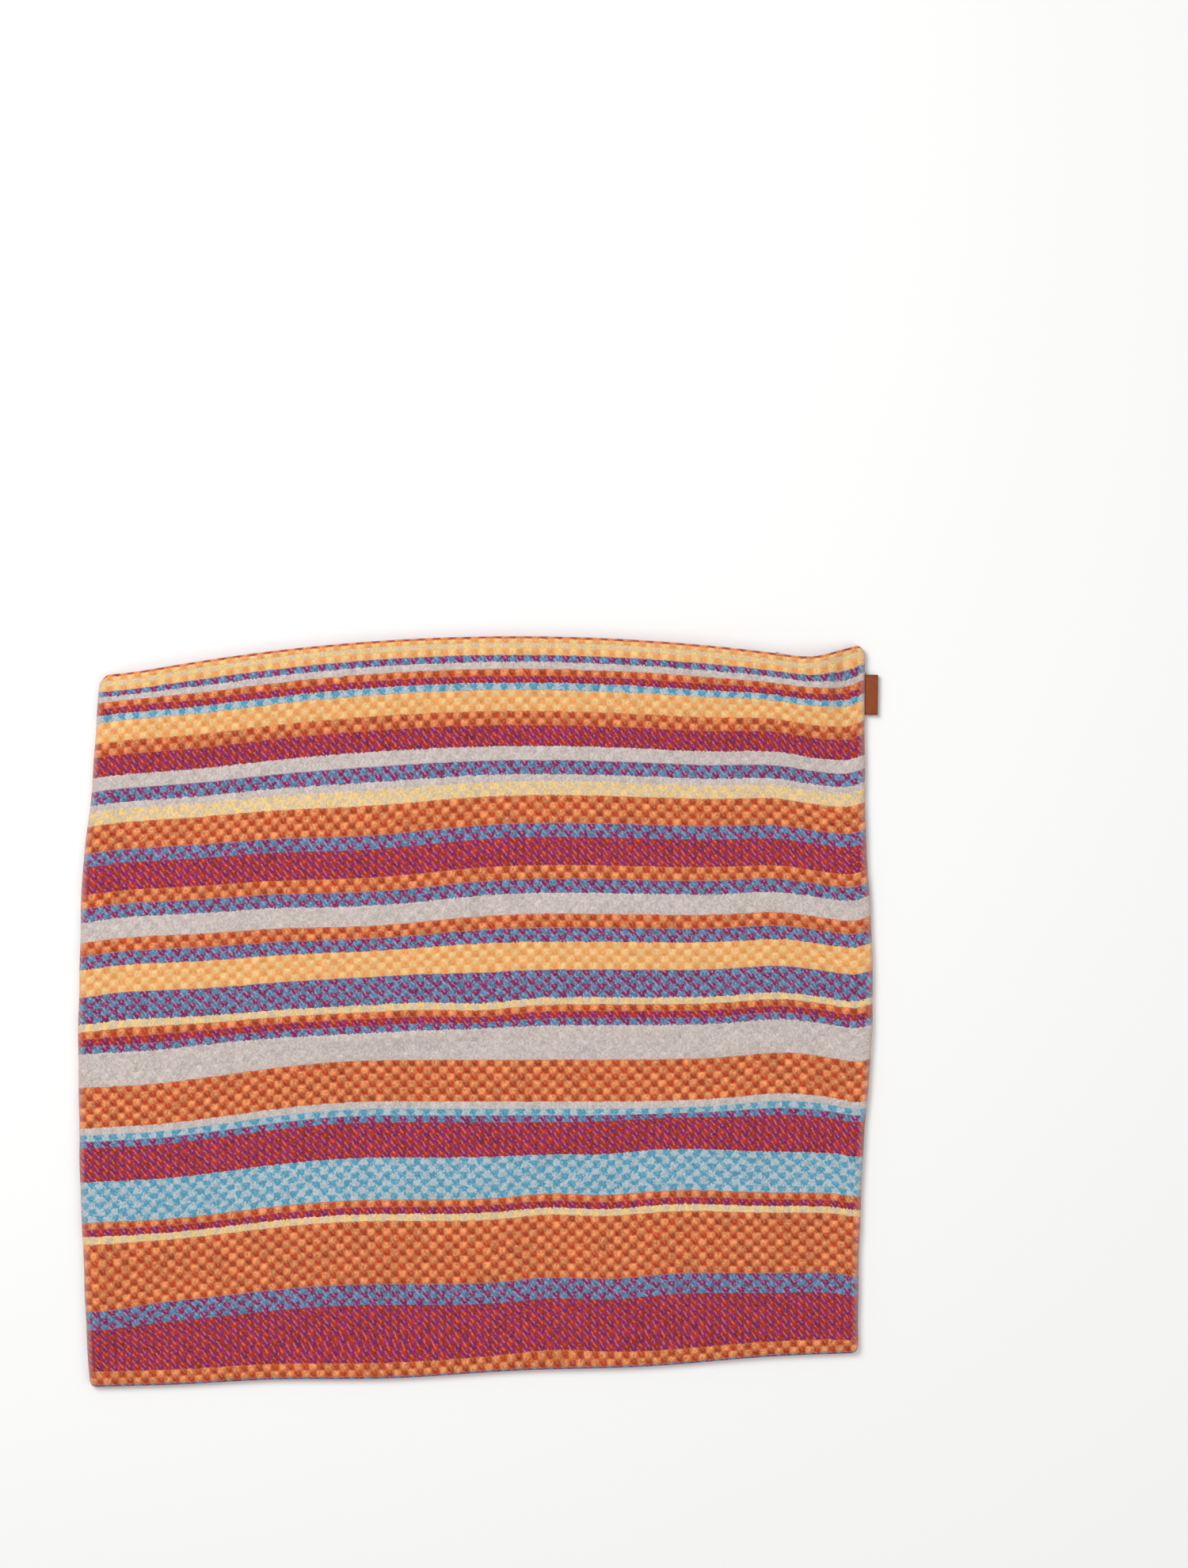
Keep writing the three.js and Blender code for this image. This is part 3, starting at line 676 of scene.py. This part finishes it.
def wool(name, stripes):
    """Brushed wool in striped, two-coloured cells, laid out by the cloth's own columns and rows."""
    bands = [(stripe[:2], int(stripe[2:])) for stripe in stripes.split()]
    graph = Graph(name, roughness=0.95, sheen_weight=0.27, sheen_roughness=0.55, specular_ior_level=0.12)
    column, row, _ = graph.parts(graph.attribute("weave"))
    place = graph.vector(column, row)

    # Yarns float in short dashes, four to a row of cells, on slants that turn back within each column
    slanted = graph.mul(graph.wave(graph.mul(column, 1.5)), 1.1)
    yarn_row = graph.add(graph.mul(row, 4.0), slanted)
    yarn_line = graph.floor(yarn_row)
    yarn_column = graph.add(graph.mul(column, 4.5), graph.mul(yarn_line, 0.37))
    dash = graph.cell_noise(graph.floor(yarn_column), yarn_line)
    crown = graph.mul(graph.wave(yarn_row), graph.add(graph.mul(graph.wave(yarn_column), 0.6), 0.4))
    fibres = graph.noise(place, 4.6, 3.0, 0.85)

    # Cell borders wander a little, step from yarn to yarn, and lean so that odd cells widen upwards
    wander = graph.sub(graph.noise(place, 0.55, 2.0), 0.5)
    wander_more = graph.sub(graph.noise(graph.vector(row, column, 7.0), 0.75, 2.0), 0.5)
    across = graph.add(column, graph.mul(wander, 0.36))
    ragged = graph.add(graph.mul(graph.sub(dash, 0.5), 0.16), graph.mul(graph.sub(fibres, 0.5), 0.5))
    along = graph.add(row, graph.add(graph.mul(wander_more, 0.16), ragged))
    line = graph.floor(along)
    border = graph.floor(graph.add(across, 0.5))
    swing = graph.math("COSINE", graph.mul(graph.add(border, line), math.pi))
    lean = graph.mul(graph.mul(swing, graph.sub(0.5, graph.fract(along))), 0.22)
    leaning = graph.sub(across, lean)
    check = graph.mul(graph.sine(graph.mul(leaning, math.pi)), graph.sine(graph.mul(along, math.pi)))
    check = graph.add(check, graph.mul(graph.sub(dash, 0.5), 0.7))
    check = graph.add(check, graph.mul(graph.sub(fibres, 0.5), 2.2))
    odd = graph.span(check, 0.36, -0.36)

    middle = graph.add(line, 0.5)
    even_bands = [(rows, rgba(YARN[PAIRS[pair][0]])) for pair, rows in bands]
    odd_bands = [(rows, rgba(YARN[PAIRS[pair][1]], GRAIN[pair] / 2)) for pair, rows in bands]
    even_colour, _ = stepped(graph, middle, even_bands)
    odd_colour, grain = stepped(graph, middle, odd_bands)
    binder, binding = stepped(graph, middle, [(rows, rgba(*BINDER[pair])) for pair, rows in bands])
    colour = graph.blend(odd, even_colour, odd_colour)
    stray = graph.span(graph.noise(graph.vector(row, column, 11.0), 7.0, 3.0, 0.8), 0.55, 0.68, 0.0, 0.45)
    colour = graph.blend(stray, colour, graph.blend(0.5, even_colour, odd_colour))

    # Every dash, fibre and cell has its own depth of dye, and each yarn float is painted lighter along its
    # crown and darker towards its ends, as painted highlight and shade
    depth = graph.cell_noise(graph.floor(leaning), line)
    shade = graph.add(graph.span(dash, 0, 1, -0.34, 0.34), graph.span(crown, 0, 1, -0.3, 0.34))
    shade = graph.add(shade, graph.span(fibres, 0.3, 0.7, -0.42, 0.42))
    shade = graph.add(shade, graph.span(depth, 0, 1, -0.1, 0.1))
    colour = graph.tone(colour, graph.add(1.0, graph.mul(graph.mul(shade, grain), 1.8)))

    # The pale binding yarn steps down the cell borders in slanted strokes
    slant = graph.mul(graph.fract(graph.add(row, 0.5)), 0.62)
    shaken = graph.add(graph.mul(wander, 0.36), graph.mul(graph.sub(fibres, 0.5), 0.5))
    stroke = graph.wave(graph.sub(graph.add(column, shaken), slant))
    stroke = graph.span(stroke, 0.3, 0.08, 0.0, 1.0)
    broken = graph.span(graph.add(dash, graph.noise(place, 2.3, 2.0)), 0.6, 1.2, 0.25, 1.0)
    colour = graph.blend(graph.mul(graph.mul(stroke, broken), binding), colour, binder)

    # Loose dyed fibres are caught in the nap, and the sewn side edges and the roll at the zip edge are
    # painted paler: pale nap, partly painted sheen
    loose = graph.noise(graph.vector(graph.mul(column, 1.4), graph.mul(row, 4.0), 5.0), 2.2, 3.0, 0.8)
    colour = graph.blend(graph.span(loose, 0.6, 0.74, 0.0, 0.45), colour, rgba("#b5806a"))
    colour = graph.blend(graph.span(loose, 0.42, 0.3, 0.0, 0.3), colour, rgba("#e2cfae"))
    edge = graph.math("MINIMUM", column, graph.sub(float(COLUMNS), column))
    edge = graph.math("MINIMUM", edge, graph.add(row, 0.8))
    # Painted sheen: the outline and the roll at the zip edge turn pale pink, as pale fuzz catching the light
    nap_and_painted_sheen = graph.span(graph.add(edge, fibres), 1.4, 0.3, 0.0, 0.55)
    colour = graph.blend(nap_and_painted_sheen, colour, rgba("#cdaea4"))

    height = graph.add(graph.mul(crown, 0.8), graph.mul(fibres, 0.8))
    height = graph.add(height, graph.mul(graph.math("ABSOLUTE", check), 0.5))
    return graph.finish(colour, normal=graph.bump(height, 0.6, 0.35 * MM))


def woven_tape():
    """Fine ribbed tape; its weave attribute runs along it and across it, in millimetres."""
    graph = Graph("woven_tape", roughness=0.8, sheen_weight=0.15, specular_ior_level=0.3)
    along, across, _ = graph.parts(graph.attribute("weave"))
    rib = graph.wave(graph.mul(along, 2.0))
    pick = graph.wave(graph.add(graph.mul(across, 2.0), graph.mul(graph.floor(graph.mul(along, 4.0)), 0.25)))
    knuckle = graph.mul(rib, pick)
    grain = graph.noise(graph.vector(along, across), 1.4, 3.0)
    # Painted shade: the tape is darker between the knuckles of its weave and lighter on them
    shade = graph.add(graph.span(knuckle, 0, 1, 0.86, 1.04), graph.span(grain, 0.2, 0.8, -0.06, 0.06))
    colour = graph.tone(graph.blend(grain, rgba("#d9c9a2"), rgba("#e4d7b5")), shade)
    return graph.finish(colour, normal=graph.bump(knuckle, 0.5, 0.15 * MM))


def yarn(name, light, dark, twists, roughness=0.6):
    """Twisted sewing thread; its weave attribute runs along the thread and round it."""
    graph = Graph(name, roughness=roughness, sheen_weight=0.2, specular_ior_level=0.35)
    along, round_it, _ = graph.parts(graph.attribute("weave"))
    ply = graph.wave(graph.add(graph.mul(along, twists), round_it))
    fuzz = graph.noise(graph.vector(along, round_it), 5.0, 3.0)
    # Painted shade: the thread is darker in the grooves between its plies and lighter on their crowns
    colour = graph.blend(graph.add(graph.mul(ply, 0.7), graph.mul(fuzz, 0.3)), rgba(dark), rgba(light))
    return graph.finish(colour, normal=graph.bump(graph.add(ply, graph.mul(fuzz, 0.4)), 0.6, 0.08 * MM))


def nylon():
    """Slightly cloudy monofilament."""
    graph = Graph("nylon_coil", roughness=0.38, specular_ior_level=0.5, coat_weight=0.1)
    along, round_it, _ = graph.parts(graph.attribute("weave"))
    cloudy = graph.noise(graph.vector(along, round_it), 0.6, 3.0)
    colour = graph.blend(cloudy, rgba("#cdb98c"), rgba("#e3d3ab"))
    return graph.finish(colour, roughness=graph.span(cloudy, 0.2, 0.8, 0.32, 0.46))


SCRATCH_SCALE = (500.0, 9000.0, 9000.0)  # to the metre: long along X, fine across it


def metal(name, light, dark, worn, roughness):
    """Cast zip metal: soft cloudiness, fine scratches along it, and patches that are rubbed bright."""
    graph = Graph(name, metallic=0.9, roughness=roughness, specular_ior_level=0.5)
    place = graph.object_place()
    cloudy = graph.noise(place, 420.0, 4.0)
    drawn_out = graph.node("VectorMath", {0: place, 1: SCRATCH_SCALE}, operation="MULTIPLY").outputs[0]
    scratches = graph.noise(drawn_out, 1.0, 2.0)
    rubbed = graph.span(graph.noise(place, 160.0, 5.0, 0.7), 0.56, 0.66)
    colour = graph.blend(cloudy, rgba(dark), rgba(light))
    colour = graph.blend(rubbed, colour, rgba(worn))
    rough = graph.span(scratches, 0.3, 0.7, roughness - 0.07, roughness + 0.1)
    rough = graph.add(rough, graph.mul(rubbed, -0.08))
    return graph.finish(colour, rough, graph.bump(scratches, 0.15, 0.03 * MM))


def tanned_leather():
    """The weave attribute runs along the label and across it, in millimetres, and marks its cut edges."""
    graph = Graph("leather", roughness=0.55, specular_ior_level=0.3)
    along, across, cut = graph.parts(graph.attribute("weave"))
    place = graph.vector(along, across)
    pores = graph.node("TexVoronoi", {"Vector": place, "Scale": 2.6}, feature="DISTANCE_TO_EDGE")
    creases = graph.span(pores.outputs["Distance"], 0.0, 0.12)
    cloudy = graph.noise(place, 0.22, 4.0, 0.6)
    fine = graph.noise(place, 5.0, 3.0)
    colour = graph.blend(cloudy, rgba("#783410"), rgba("#a65226"))
    shade = graph.add(graph.span(creases, 0, 1, 0.86, 1.0), graph.span(fine, 0.2, 0.8, -0.07, 0.07))
    colour = graph.tone(colour, shade)

    # Raw cut edges are darker and fibrous, and a plain tooled line runs inside them
    inside = graph.sub(LABEL_LONG / 2 / MM - LABEL_TOOLED, graph.math("ABSOLUTE", along))
    tooled = graph.span(graph.math("ABSOLUTE", inside), 0.12, 0.32, 1.0, 0.0)
    colour = graph.blend(graph.mul(tooled, 0.55), colour, rgba("#4c1f12"))
    colour = graph.blend(graph.span(graph.add(cut, graph.mul(fine, 0.3)), 0.5, 0.9), colour, rgba("#5b2a1a"))
    rough = graph.add(graph.span(cloudy, 0.3, 0.7, 0.48, 0.64), graph.mul(cut, 0.2))
    height = graph.sub(graph.add(creases, graph.mul(fine, 0.5)), graph.mul(tooled, 2.0))
    return graph.finish(colour, rough, graph.bump(height, 0.4, 0.12 * MM))


# ---- Sewn and zipped parts, placed along the arc of the zip and along the seams ----


CORNER_Y = 0.26  # about where the side edges meet the zip edge


def tall_at(x):
    """How much of the zip edge's thickness is left at X: all of it along the zip, half at the corners."""
    return mix(1, SEAM_Z / ZIP_Z, seam_band(flank(x, CORNER_Y)))


def on_zip(s, n, z):
    """A point of the zip edge: s along the arc from its crown, n outwards, z up from the zip's middle."""
    turn = np.asarray(s) / ARC_RADIUS
    x = PIVOT.x + ARC_RADIUS * np.sin(turn)
    tall = tall_at(x)
    return np.stack([x + n * np.sin(turn), arc_y(x) + n * np.cos(turn), (ZIP_Z + z) * tall], -1)


def seam_place(side_x, outwards):
    """The function that places a point of a side seam: y along it, n outwards, z up from its middle."""
    def place(y, n, z):
        x = side_x(y)
        return np.stack([x + outwards * n, y + 0 * x, mix(SEAM_Z, ZIP_Z, crest(x, y)) + z], -1)

    return place


on_left = seam_place(left_x, -1)
on_right = seam_place(right_x, 1)


def on_foot(x, n, z):
    return np.stack([x, foot_y(x) - n, 0 * x + SEAM_Z + z], -1)


def tube(line, radii, sides):
    """Rings of points round a line, thin at both ends where the radii say so."""
    ahead = np.gradient(line, axis=0)
    ahead /= np.linalg.norm(ahead, axis=1)[:, None]
    helper = np.where(np.abs(ahead[:, 2:3]) > 0.9, np.array([1.0, 0, 0]), np.array([0, 0, 1.0]))
    right = np.cross(ahead, helper)
    right /= np.linalg.norm(right, axis=1)[:, None]
    up = np.cross(right, ahead)
    turns = 2 * math.pi * np.arange(sides) / sides
    ring = np.cos(turns)[None, :, None] * right[:, None] + np.sin(turns)[None, :, None] * up[:, None]
    return line[:, None] + ring * np.broadcast_to(radii, len(line))[:, None, None]


def ring_faces(base, count, sides):
    """Faces of a closed run of rings of points, numbered from base, with both of its ends."""
    faces = []
    for ring in range(count - 1):
        for k in range(sides):
            a, b = base + ring * sides + k, base + ring * sides + (k + 1) % sides
            faces.append((a, b, b + sides, a + sides))
    faces.append([base + k for k in reversed(range(sides))])
    faces.append([base + (count - 1) * sides + k for k in range(sides)])
    return faces


def tubes(name, lines, radii, sides, material):
    """One piece made of closed tubes, one round each line."""
    points, faces, weave = [], [], []
    for line in lines:
        faces += ring_faces(len(points), len(line), sides)
        points.extend(tube(line, radii, sides).reshape(-1, 3))
        weave.extend((t / MM, k / sides, 0) for t in lengths_along(line) for k in range(sides))
    return dressed(build(name, points, faces), material, weave)


def dressed(piece, material, weave=None):
    if weave is not None:
        carry_weave(piece, weave)
    piece.data.materials.clear()
    piece.data.materials.append(material)
    return piece


STITCH = 3.2 * MM
THREAD = 0.27 * MM  # radius of the sewing thread
TACK_THREAD = 0.24 * MM
TACK_PASSES = 15
TACK_HALF = 1.75 * MM  # half length of a pass across the slot
TACK_N = 3.5 * MM
OVERLOCK_THREAD = 0.2 * MM
OVERLOCK_STITCH = 2.6 * MM
LOOP_WAVE = 1.3 * MM  # the looper threads sway with this length


def lockstitch(name, place, start, end, n, z, material):
    """A row of separate short stitches that dive into the cloth at both ends."""
    count = max(2, round(abs(end - start) / STITCH))
    stops = np.linspace(start, end, count + 1)
    t = np.linspace(0.06, 0.94, 7)
    dive = np.array([-0.25, 0.6, 1, 1, 1, 0.6, -0.25]) * 0.12 * MM
    thick = np.array([0.35, 0.9, 1, 1, 1, 0.9, 0.35]) * THREAD
    lines = [place(mix(a, b, t), n + 0 * t, z + dive) for a, b in zip(stops[:-1], stops[1:])]
    return tubes(name, lines, thick, 6, material)


def overlocked(name, place, start, end, inner, outer, z, material):
    """Overlock: one thread that zigzags over a raw edge, and a looper thread along each side of it."""
    count = round(abs(end - start) / OVERLOCK_STITCH)
    stops = np.linspace(start, end, 2 * count + 1)
    sway = np.where(np.arange(len(stops)) % 2 == 0, inner, outer)
    lines = [place(stops, sway, z + 0 * stops)]
    steps = np.linspace(start, end, 3 * count)
    for edge, phase in ((inner, 0.0), (outer, math.pi)):
        wobble = 0.25 * MM * np.sin(steps / LOOP_WAVE + phase)
        lines.append(place(steps, edge + wobble, z + 0.1 * MM * np.cos(steps / LOOP_WAVE)))
    return tubes(name, lines, OVERLOCK_THREAD, 5, material)


def swept(name, section, stations, place, material):
    """A closed section carried along a run of stations."""
    section = np.array(section)
    rings = [place(np.full(len(section), s), section[:, 0], section[:, 1]) for s in stations]
    weave = [(s / MM, across / MM, 0) for s in stations for across in lengths_along(section)]
    piece = build(name, np.concatenate(rings), ring_faces(0, len(rings), len(section)))
    face_outwards(piece)
    return dressed(piece, material, weave)


TAPE_LEG = 14 * MM  # width of the tape behind the arc of the zip
TAPE_THICK = 0.5 * MM
TAPE_BEND = 0.8 * MM  # radius where the tape turns towards the slot
TAPE_OUTER = TAPE_BOX[1].z - ZIP_Z  # far face of the tape, from the middle of the zip
TAPE_LIP = TAPE_BOX[0].z - ZIP_Z
TAPE_RIPPLE = 0.12 * MM
COIL_N = -1.2 * MM
COIL_Z = 1.25 * MM
COIL_PITCH = 1.35 * MM
COIL_HALF = (0.64 * MM, 0.39 * MM)  # half width and half height of the coil's wire line
COIL_WIRE = 0.25 * MM


def arc_span(node):
    """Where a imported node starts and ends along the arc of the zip."""
    return [math.asin((corner.x - PIVOT.x) / ARC_RADIUS) * ARC_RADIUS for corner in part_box(node)]


def zip_tape(up, material):
    """A tape of L section, its short leg at the slot; up is 1 on the reverse panel and -1 on the face."""
    leg, lip, thick, bend = TAPE_OUTER, TAPE_LIP, TAPE_THICK, TAPE_BEND
    outline = [(-TAPE_LEG, leg - thick), (0, leg - thick), (0, lip), (thick, lip), (thick, leg - bend),
               (thick - bend / 3, leg - bend / 3), (thick - bend, leg), (-TAPE_LEG, leg)]
    section = [(n, up * z) for n, z in outline]
    start, end = arc_span("zip_tape_reverse")
    stations = np.linspace(start, end, 160)

    def place(s, n, z):
        ripple = TAPE_RIPPLE * np.sin(s / (9 * MM)) * np.clip(-n / TAPE_LEG, 0, 1)
        return on_zip(s, n, z - up * np.abs(ripple))

    return swept(f"zip_tape_cloth_{SIDE_NAMES[up]}", section, stations, place, material)


def zip_coil(up, material):
    """One half of the coil, a wound wire."""
    start, end = arc_span("zip_coil_reverse")
    turns = round((end - start) / COIL_PITCH)
    phase = np.linspace(0, 2 * math.pi * turns, turns * 8 + 1)
    s = np.linspace(start + 0.3 * MM, end - 0.3 * MM, len(phase))
    n = COIL_N + COIL_HALF[0] * np.cos(phase)
    z = up * (COIL_Z + COIL_HALF[1] * np.sin(phase))
    return tubes(f"zip_coil_wire_{SIDE_NAMES[up]}", [on_zip(s, n, z)], COIL_WIRE, 5, material)


def bar_tack(name, node, material):
    """Dense zigzag across the slot at one end of the mouth."""
    start, end = arc_span(node)
    s = np.linspace(start + THREAD, end - THREAD, 4 * TACK_PASSES + 1)
    swing = 2 * math.pi * np.arange(len(s)) / 4
    depth = TACK_N + 0.05 * MM * np.cos(swing)
    return tubes(name, [on_zip(s, depth, TACK_HALF * np.sin(swing))], TACK_THREAD, 6, material)


# ---- Label: one folded strip of leather from inside the seam, out round its fold and back ----

LABEL_LONG = 31 * MM
LABEL_TOOLED = 1.4  # millimetres from the ends to the tooled lines
LABEL_OUT = 7.6 * MM  # from the fold line to the outer end
LABEL_ROOT = -3.9 * MM  # inner end, in the seam
LABEL_HALF = 1.1 * MM  # half thickness of the two leaves together


def label_section():
    """Outline of the folded strip: outwards and up, from the root over the top, round the end and back."""
    top = [(LABEL_ROOT, 0.3 * MM), (-1.6 * MM, 0.36 * MM), (0.2 * MM, 0.75 * MM), (2.0 * MM, 1.02 * MM)]
    top += [(x * MM, LABEL_HALF) for x in (3.2, 4.4, 5.6)]
    centre = LABEL_OUT - LABEL_HALF
    turns = np.radians(np.linspace(75, 0, 6))
    top += [(centre + LABEL_HALF * math.cos(t), LABEL_HALF * math.sin(t)) for t in turns]
    slit = [(LABEL_ROOT, 0.05 * MM), (2.0 * MM, 0.06 * MM), (centre, 0.1 * MM)]
    under = [(x, -z) for x, z in reversed(top[:-1])]
    return top + under + [(x, -z) for x, z in slit] + list(reversed(slit))


def label_piece(material):
    section = label_section()
    steps = 46
    points, weave = [], []
    for step in range(steps + 1):
        along = mix(-0.5, 0.5, step / steps) * LABEL_LONG
        inset = 0.35 * MM * (1 - min(1, min(step, steps - step) / 1.5))
        for x, z in section:
            squeeze = 1 - inset / LABEL_HALF * 0.35
            wave = 0.12 * MM * math.sin(along / (6 * MM)) * max(0, x) / LABEL_OUT
            points.append(FOLD + FOLD_ALONG * along + FOLD_OUT * x + Vector((0, 0, z * squeeze + wave)))
            in_slit = abs(z) < 0.15 * MM and x < LABEL_OUT - LABEL_HALF * 1.2
            cut = step in (0, steps) or in_slit
            weave.append((along / MM, x / MM, float(cut)))
    piece = build("label_leather", points, ring_faces(0, steps + 1, len(section)))
    face_outwards(piece)
    return dressed(piece, material, weave)


# ---- Everything together ----

SIDE_NAMES = {1: "reverse", -1: "face"}
# Where the rows of thread lie, outwards from the arc of the zip or from the edge of a seam
TAPE_ROW_N = -6.3 * MM
TAPE_ROW_Z = TAPE_OUTER - TAPE_THICK - 0.6 * MM
ZIP_BINDING = (-16 * MM, -14.5 * MM)
ZIP_BINDING_Z = TAPE_OUTER - 0.3 * MM
SEAM_ROW_N = -2.5 * MM
SEAM_BINDING = (-11 * MM, -8 * MM)
HEAD_ROW_N = 1.6 * MM


def worn(node, material, width):
    """Keeps a packed metal node, with softened edges and a better material."""
    piece = frame["nodes"][node]
    flat = piece.modifiers.new("flat", "DECIMATE")
    flat.decimate_type = "DISSOLVE"
    flat.angle_limit = math.radians(3)
    soft = piece.modifiers.new("soft", "BEVEL")
    soft.width = width
    soft.segments = 3
    soft.limit_method = "ANGLE"
    soft.angle_limit = math.radians(35)
    soft.harden_normals = True
    piece.data.shade_smooth()
    dressed(piece, material)


def keep(piece, slot, *nodes):
    """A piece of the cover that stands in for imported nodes."""
    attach(piece, "cover")
    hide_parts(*nodes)
    return piece


def make_cover():
    reverse = cloth_panel("reverse_cloth", 1)
    dressed(reverse, wool("reverse_wool", REVERSE_STRIPES))
    face = cloth_panel("face_cloth", -1)
    dressed(face, wool("face_wool", FACE_STRIPES))
    keep(reverse, "reverse_wool", "reverse_panel")
    keep(face, "face_wool", "face_panel")

    tape, coil = woven_tape(), nylon()
    thread = yarn("sewing_thread", "#d8c6ae", "#a5917c", 0.9)
    edging = yarn("overlock_thread", "#ddd2c2", "#b3a593", 0.6, 0.75)
    trim = {1: [], -1: []}
    for up, name in SIDE_NAMES.items():
        tape_piece = keep(zip_tape(up, tape), "zip_tape", f"zip_tape_{name}")
        coil_piece = keep(zip_coil(up, coil), "zip_coil", f"zip_coil_{name}")
        start, end = arc_span(f"zip_stitching_{name}")
        row = lockstitch(f"zip_lockstitch_{name}", on_zip, start, end, TAPE_ROW_N, up * TAPE_ROW_Z, thread)
        keep(row, "thread", f"zip_stitching_{name}")
        start, end = arc_span(f"overlock_zip_{name}")
        height = up * ZIP_BINDING_Z
        bound = overlocked(f"zip_overlock_{name}", on_zip, start, end, *ZIP_BINDING, height, edging)
        keep(bound, "overlock", f"overlock_zip_{name}")
        trim[up] += [tape_piece, coil_piece, row, bound]

    seams = (
        ("right", on_right, lambda box: (box[1].y, box[0].y)),
        ("left", on_left, lambda box: (box[0].y, box[1].y)),
        ("foot", on_foot, lambda box: (box[1].x, box[0].x)),
    )
    for name, place, ends in seams:
        start, end = ends(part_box(f"seam_thread_{name}"))
        row = lockstitch(f"seam_lockstitch_{name}", place, start, end, SEAM_ROW_N, 0, thread)
        keep(row, "thread", f"seam_thread_{name}")
        start, end = ends(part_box(f"overlock_{name}"))
        bound = overlocked(f"seam_overlock_{name}", place, start, end, *SEAM_BINDING, 0, edging)
        keep(bound, "overlock", f"overlock_{name}")
        trim[1] += [row, bound]
    for name in ("left", "right"):
        node = f"seam_thread_head_{name}"
        start, end = arc_span(node)
        if name == "left":
            start += LEFT_DRAWN
        row = lockstitch(f"head_lockstitch_{name}", on_zip, start, end, HEAD_ROW_N, 0, thread)
        keep(row, "thread", node)
        trim[1].append(row)
    for name in ("closed_end", "open_end"):
        node = f"bar_tack_{name}"
        trim[1].append(keep(bar_tack(f"bar_tack_thread_{name}", node, thread), "thread", node))

    label = label_piece(tanned_leather())
    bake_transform(label)
    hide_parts("label_root", "label_tab")

    brass = metal("brass", "#d8b978", "#a98a52", "#f0dcae", 0.3)
    lacquered = metal("lacquered_metal", "#d6c294", "#b8a172", "#efe2bd", 0.42)
    worn("zip_pull", brass, 0.16 * MM)
    worn("zip_slider", lacquered, 0.12 * MM)
    for node in ("zip_top_stop_reverse", "zip_top_stop_face", "zip_bottom_stop"):
        worn(node, lacquered, 0.25 * MM)

    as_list(trim[-1])


# ---- Floor, light and camera ----


FLOOR_REACH = 6.0


def pale_floor():
    graph = Graph("floor", roughness=0.9, specular_ior_level=0.1)
    corners = [(FLOOR_REACH * x, FLOOR_REACH * y, 0) for x, y in ((-1, -1), (1, -1), (1, 1), (-1, 1))]
    floor = build("floor", corners, [(0, 1, 2, 3)], smooth=False)
    floor.data.materials.append(graph.finish(rgba("#fdfdfc")))


def soft_light(name, place, size, power):
    """A round area light that points at the middle of the floor."""
    light = bpy.data.lights.new(name, "AREA")
    light.shape = "DISK"
    light.size = size
    light.energy = power
    lamp = bpy.data.objects.new(name, light)
    lamp.location = place
    lamp.rotation_mode = "QUATERNION"
    lamp.rotation_quaternion = (-Vector(place)).to_track_quat("-Z", "Y")
    bpy.context.scene.collection.objects.link(lamp)


VIEW_MIDDLE = Vector((0.0959, 0.1718, 0))  # the cover lies low and left in the picture
VIEW_HEIGHT = 1.207  # length of the picture's longer side on the floor
VIEW_TURN = -1.84  # degrees about the vertical
LENS = 85.0
SENSOR = 36.0


def overhead_camera():
    camera = bpy.data.objects.new("camera", bpy.data.cameras.new("camera"))
    camera.data.lens = LENS
    camera.data.sensor_width = SENSOR
    away = VIEW_HEIGHT * LENS / SENSOR
    camera.location = VIEW_MIDDLE + Vector((0, 0, away))
    camera.rotation_euler = (0, 0, math.radians(VIEW_TURN))
    bpy.context.scene.collection.objects.link(camera)
    bpy.context.scene.camera = camera


SKY = 0.39
KEY = {"place": (-1.1, 1.3, 2.2), "size": 1.6, "power": 49}
FILL = {"place": (1.6, -0.9, 2.4), "size": 2.4, "power": 20}


def daylight():
    world = bpy.data.worlds.new("daylight")
    world.use_nodes = True
    sky = world.node_tree.nodes["Background"]
    sky.inputs["Color"].default_value = (1, 1, 1, 1)
    sky.inputs["Strength"].default_value = SKY
    bpy.context.scene.world = world
    soft_light("key", **KEY)
    soft_light("fill", **FILL)


make_cover()
pale_floor()
daylight()
overhead_camera()
bpy.context.scene.view_settings.view_transform = "Standard"
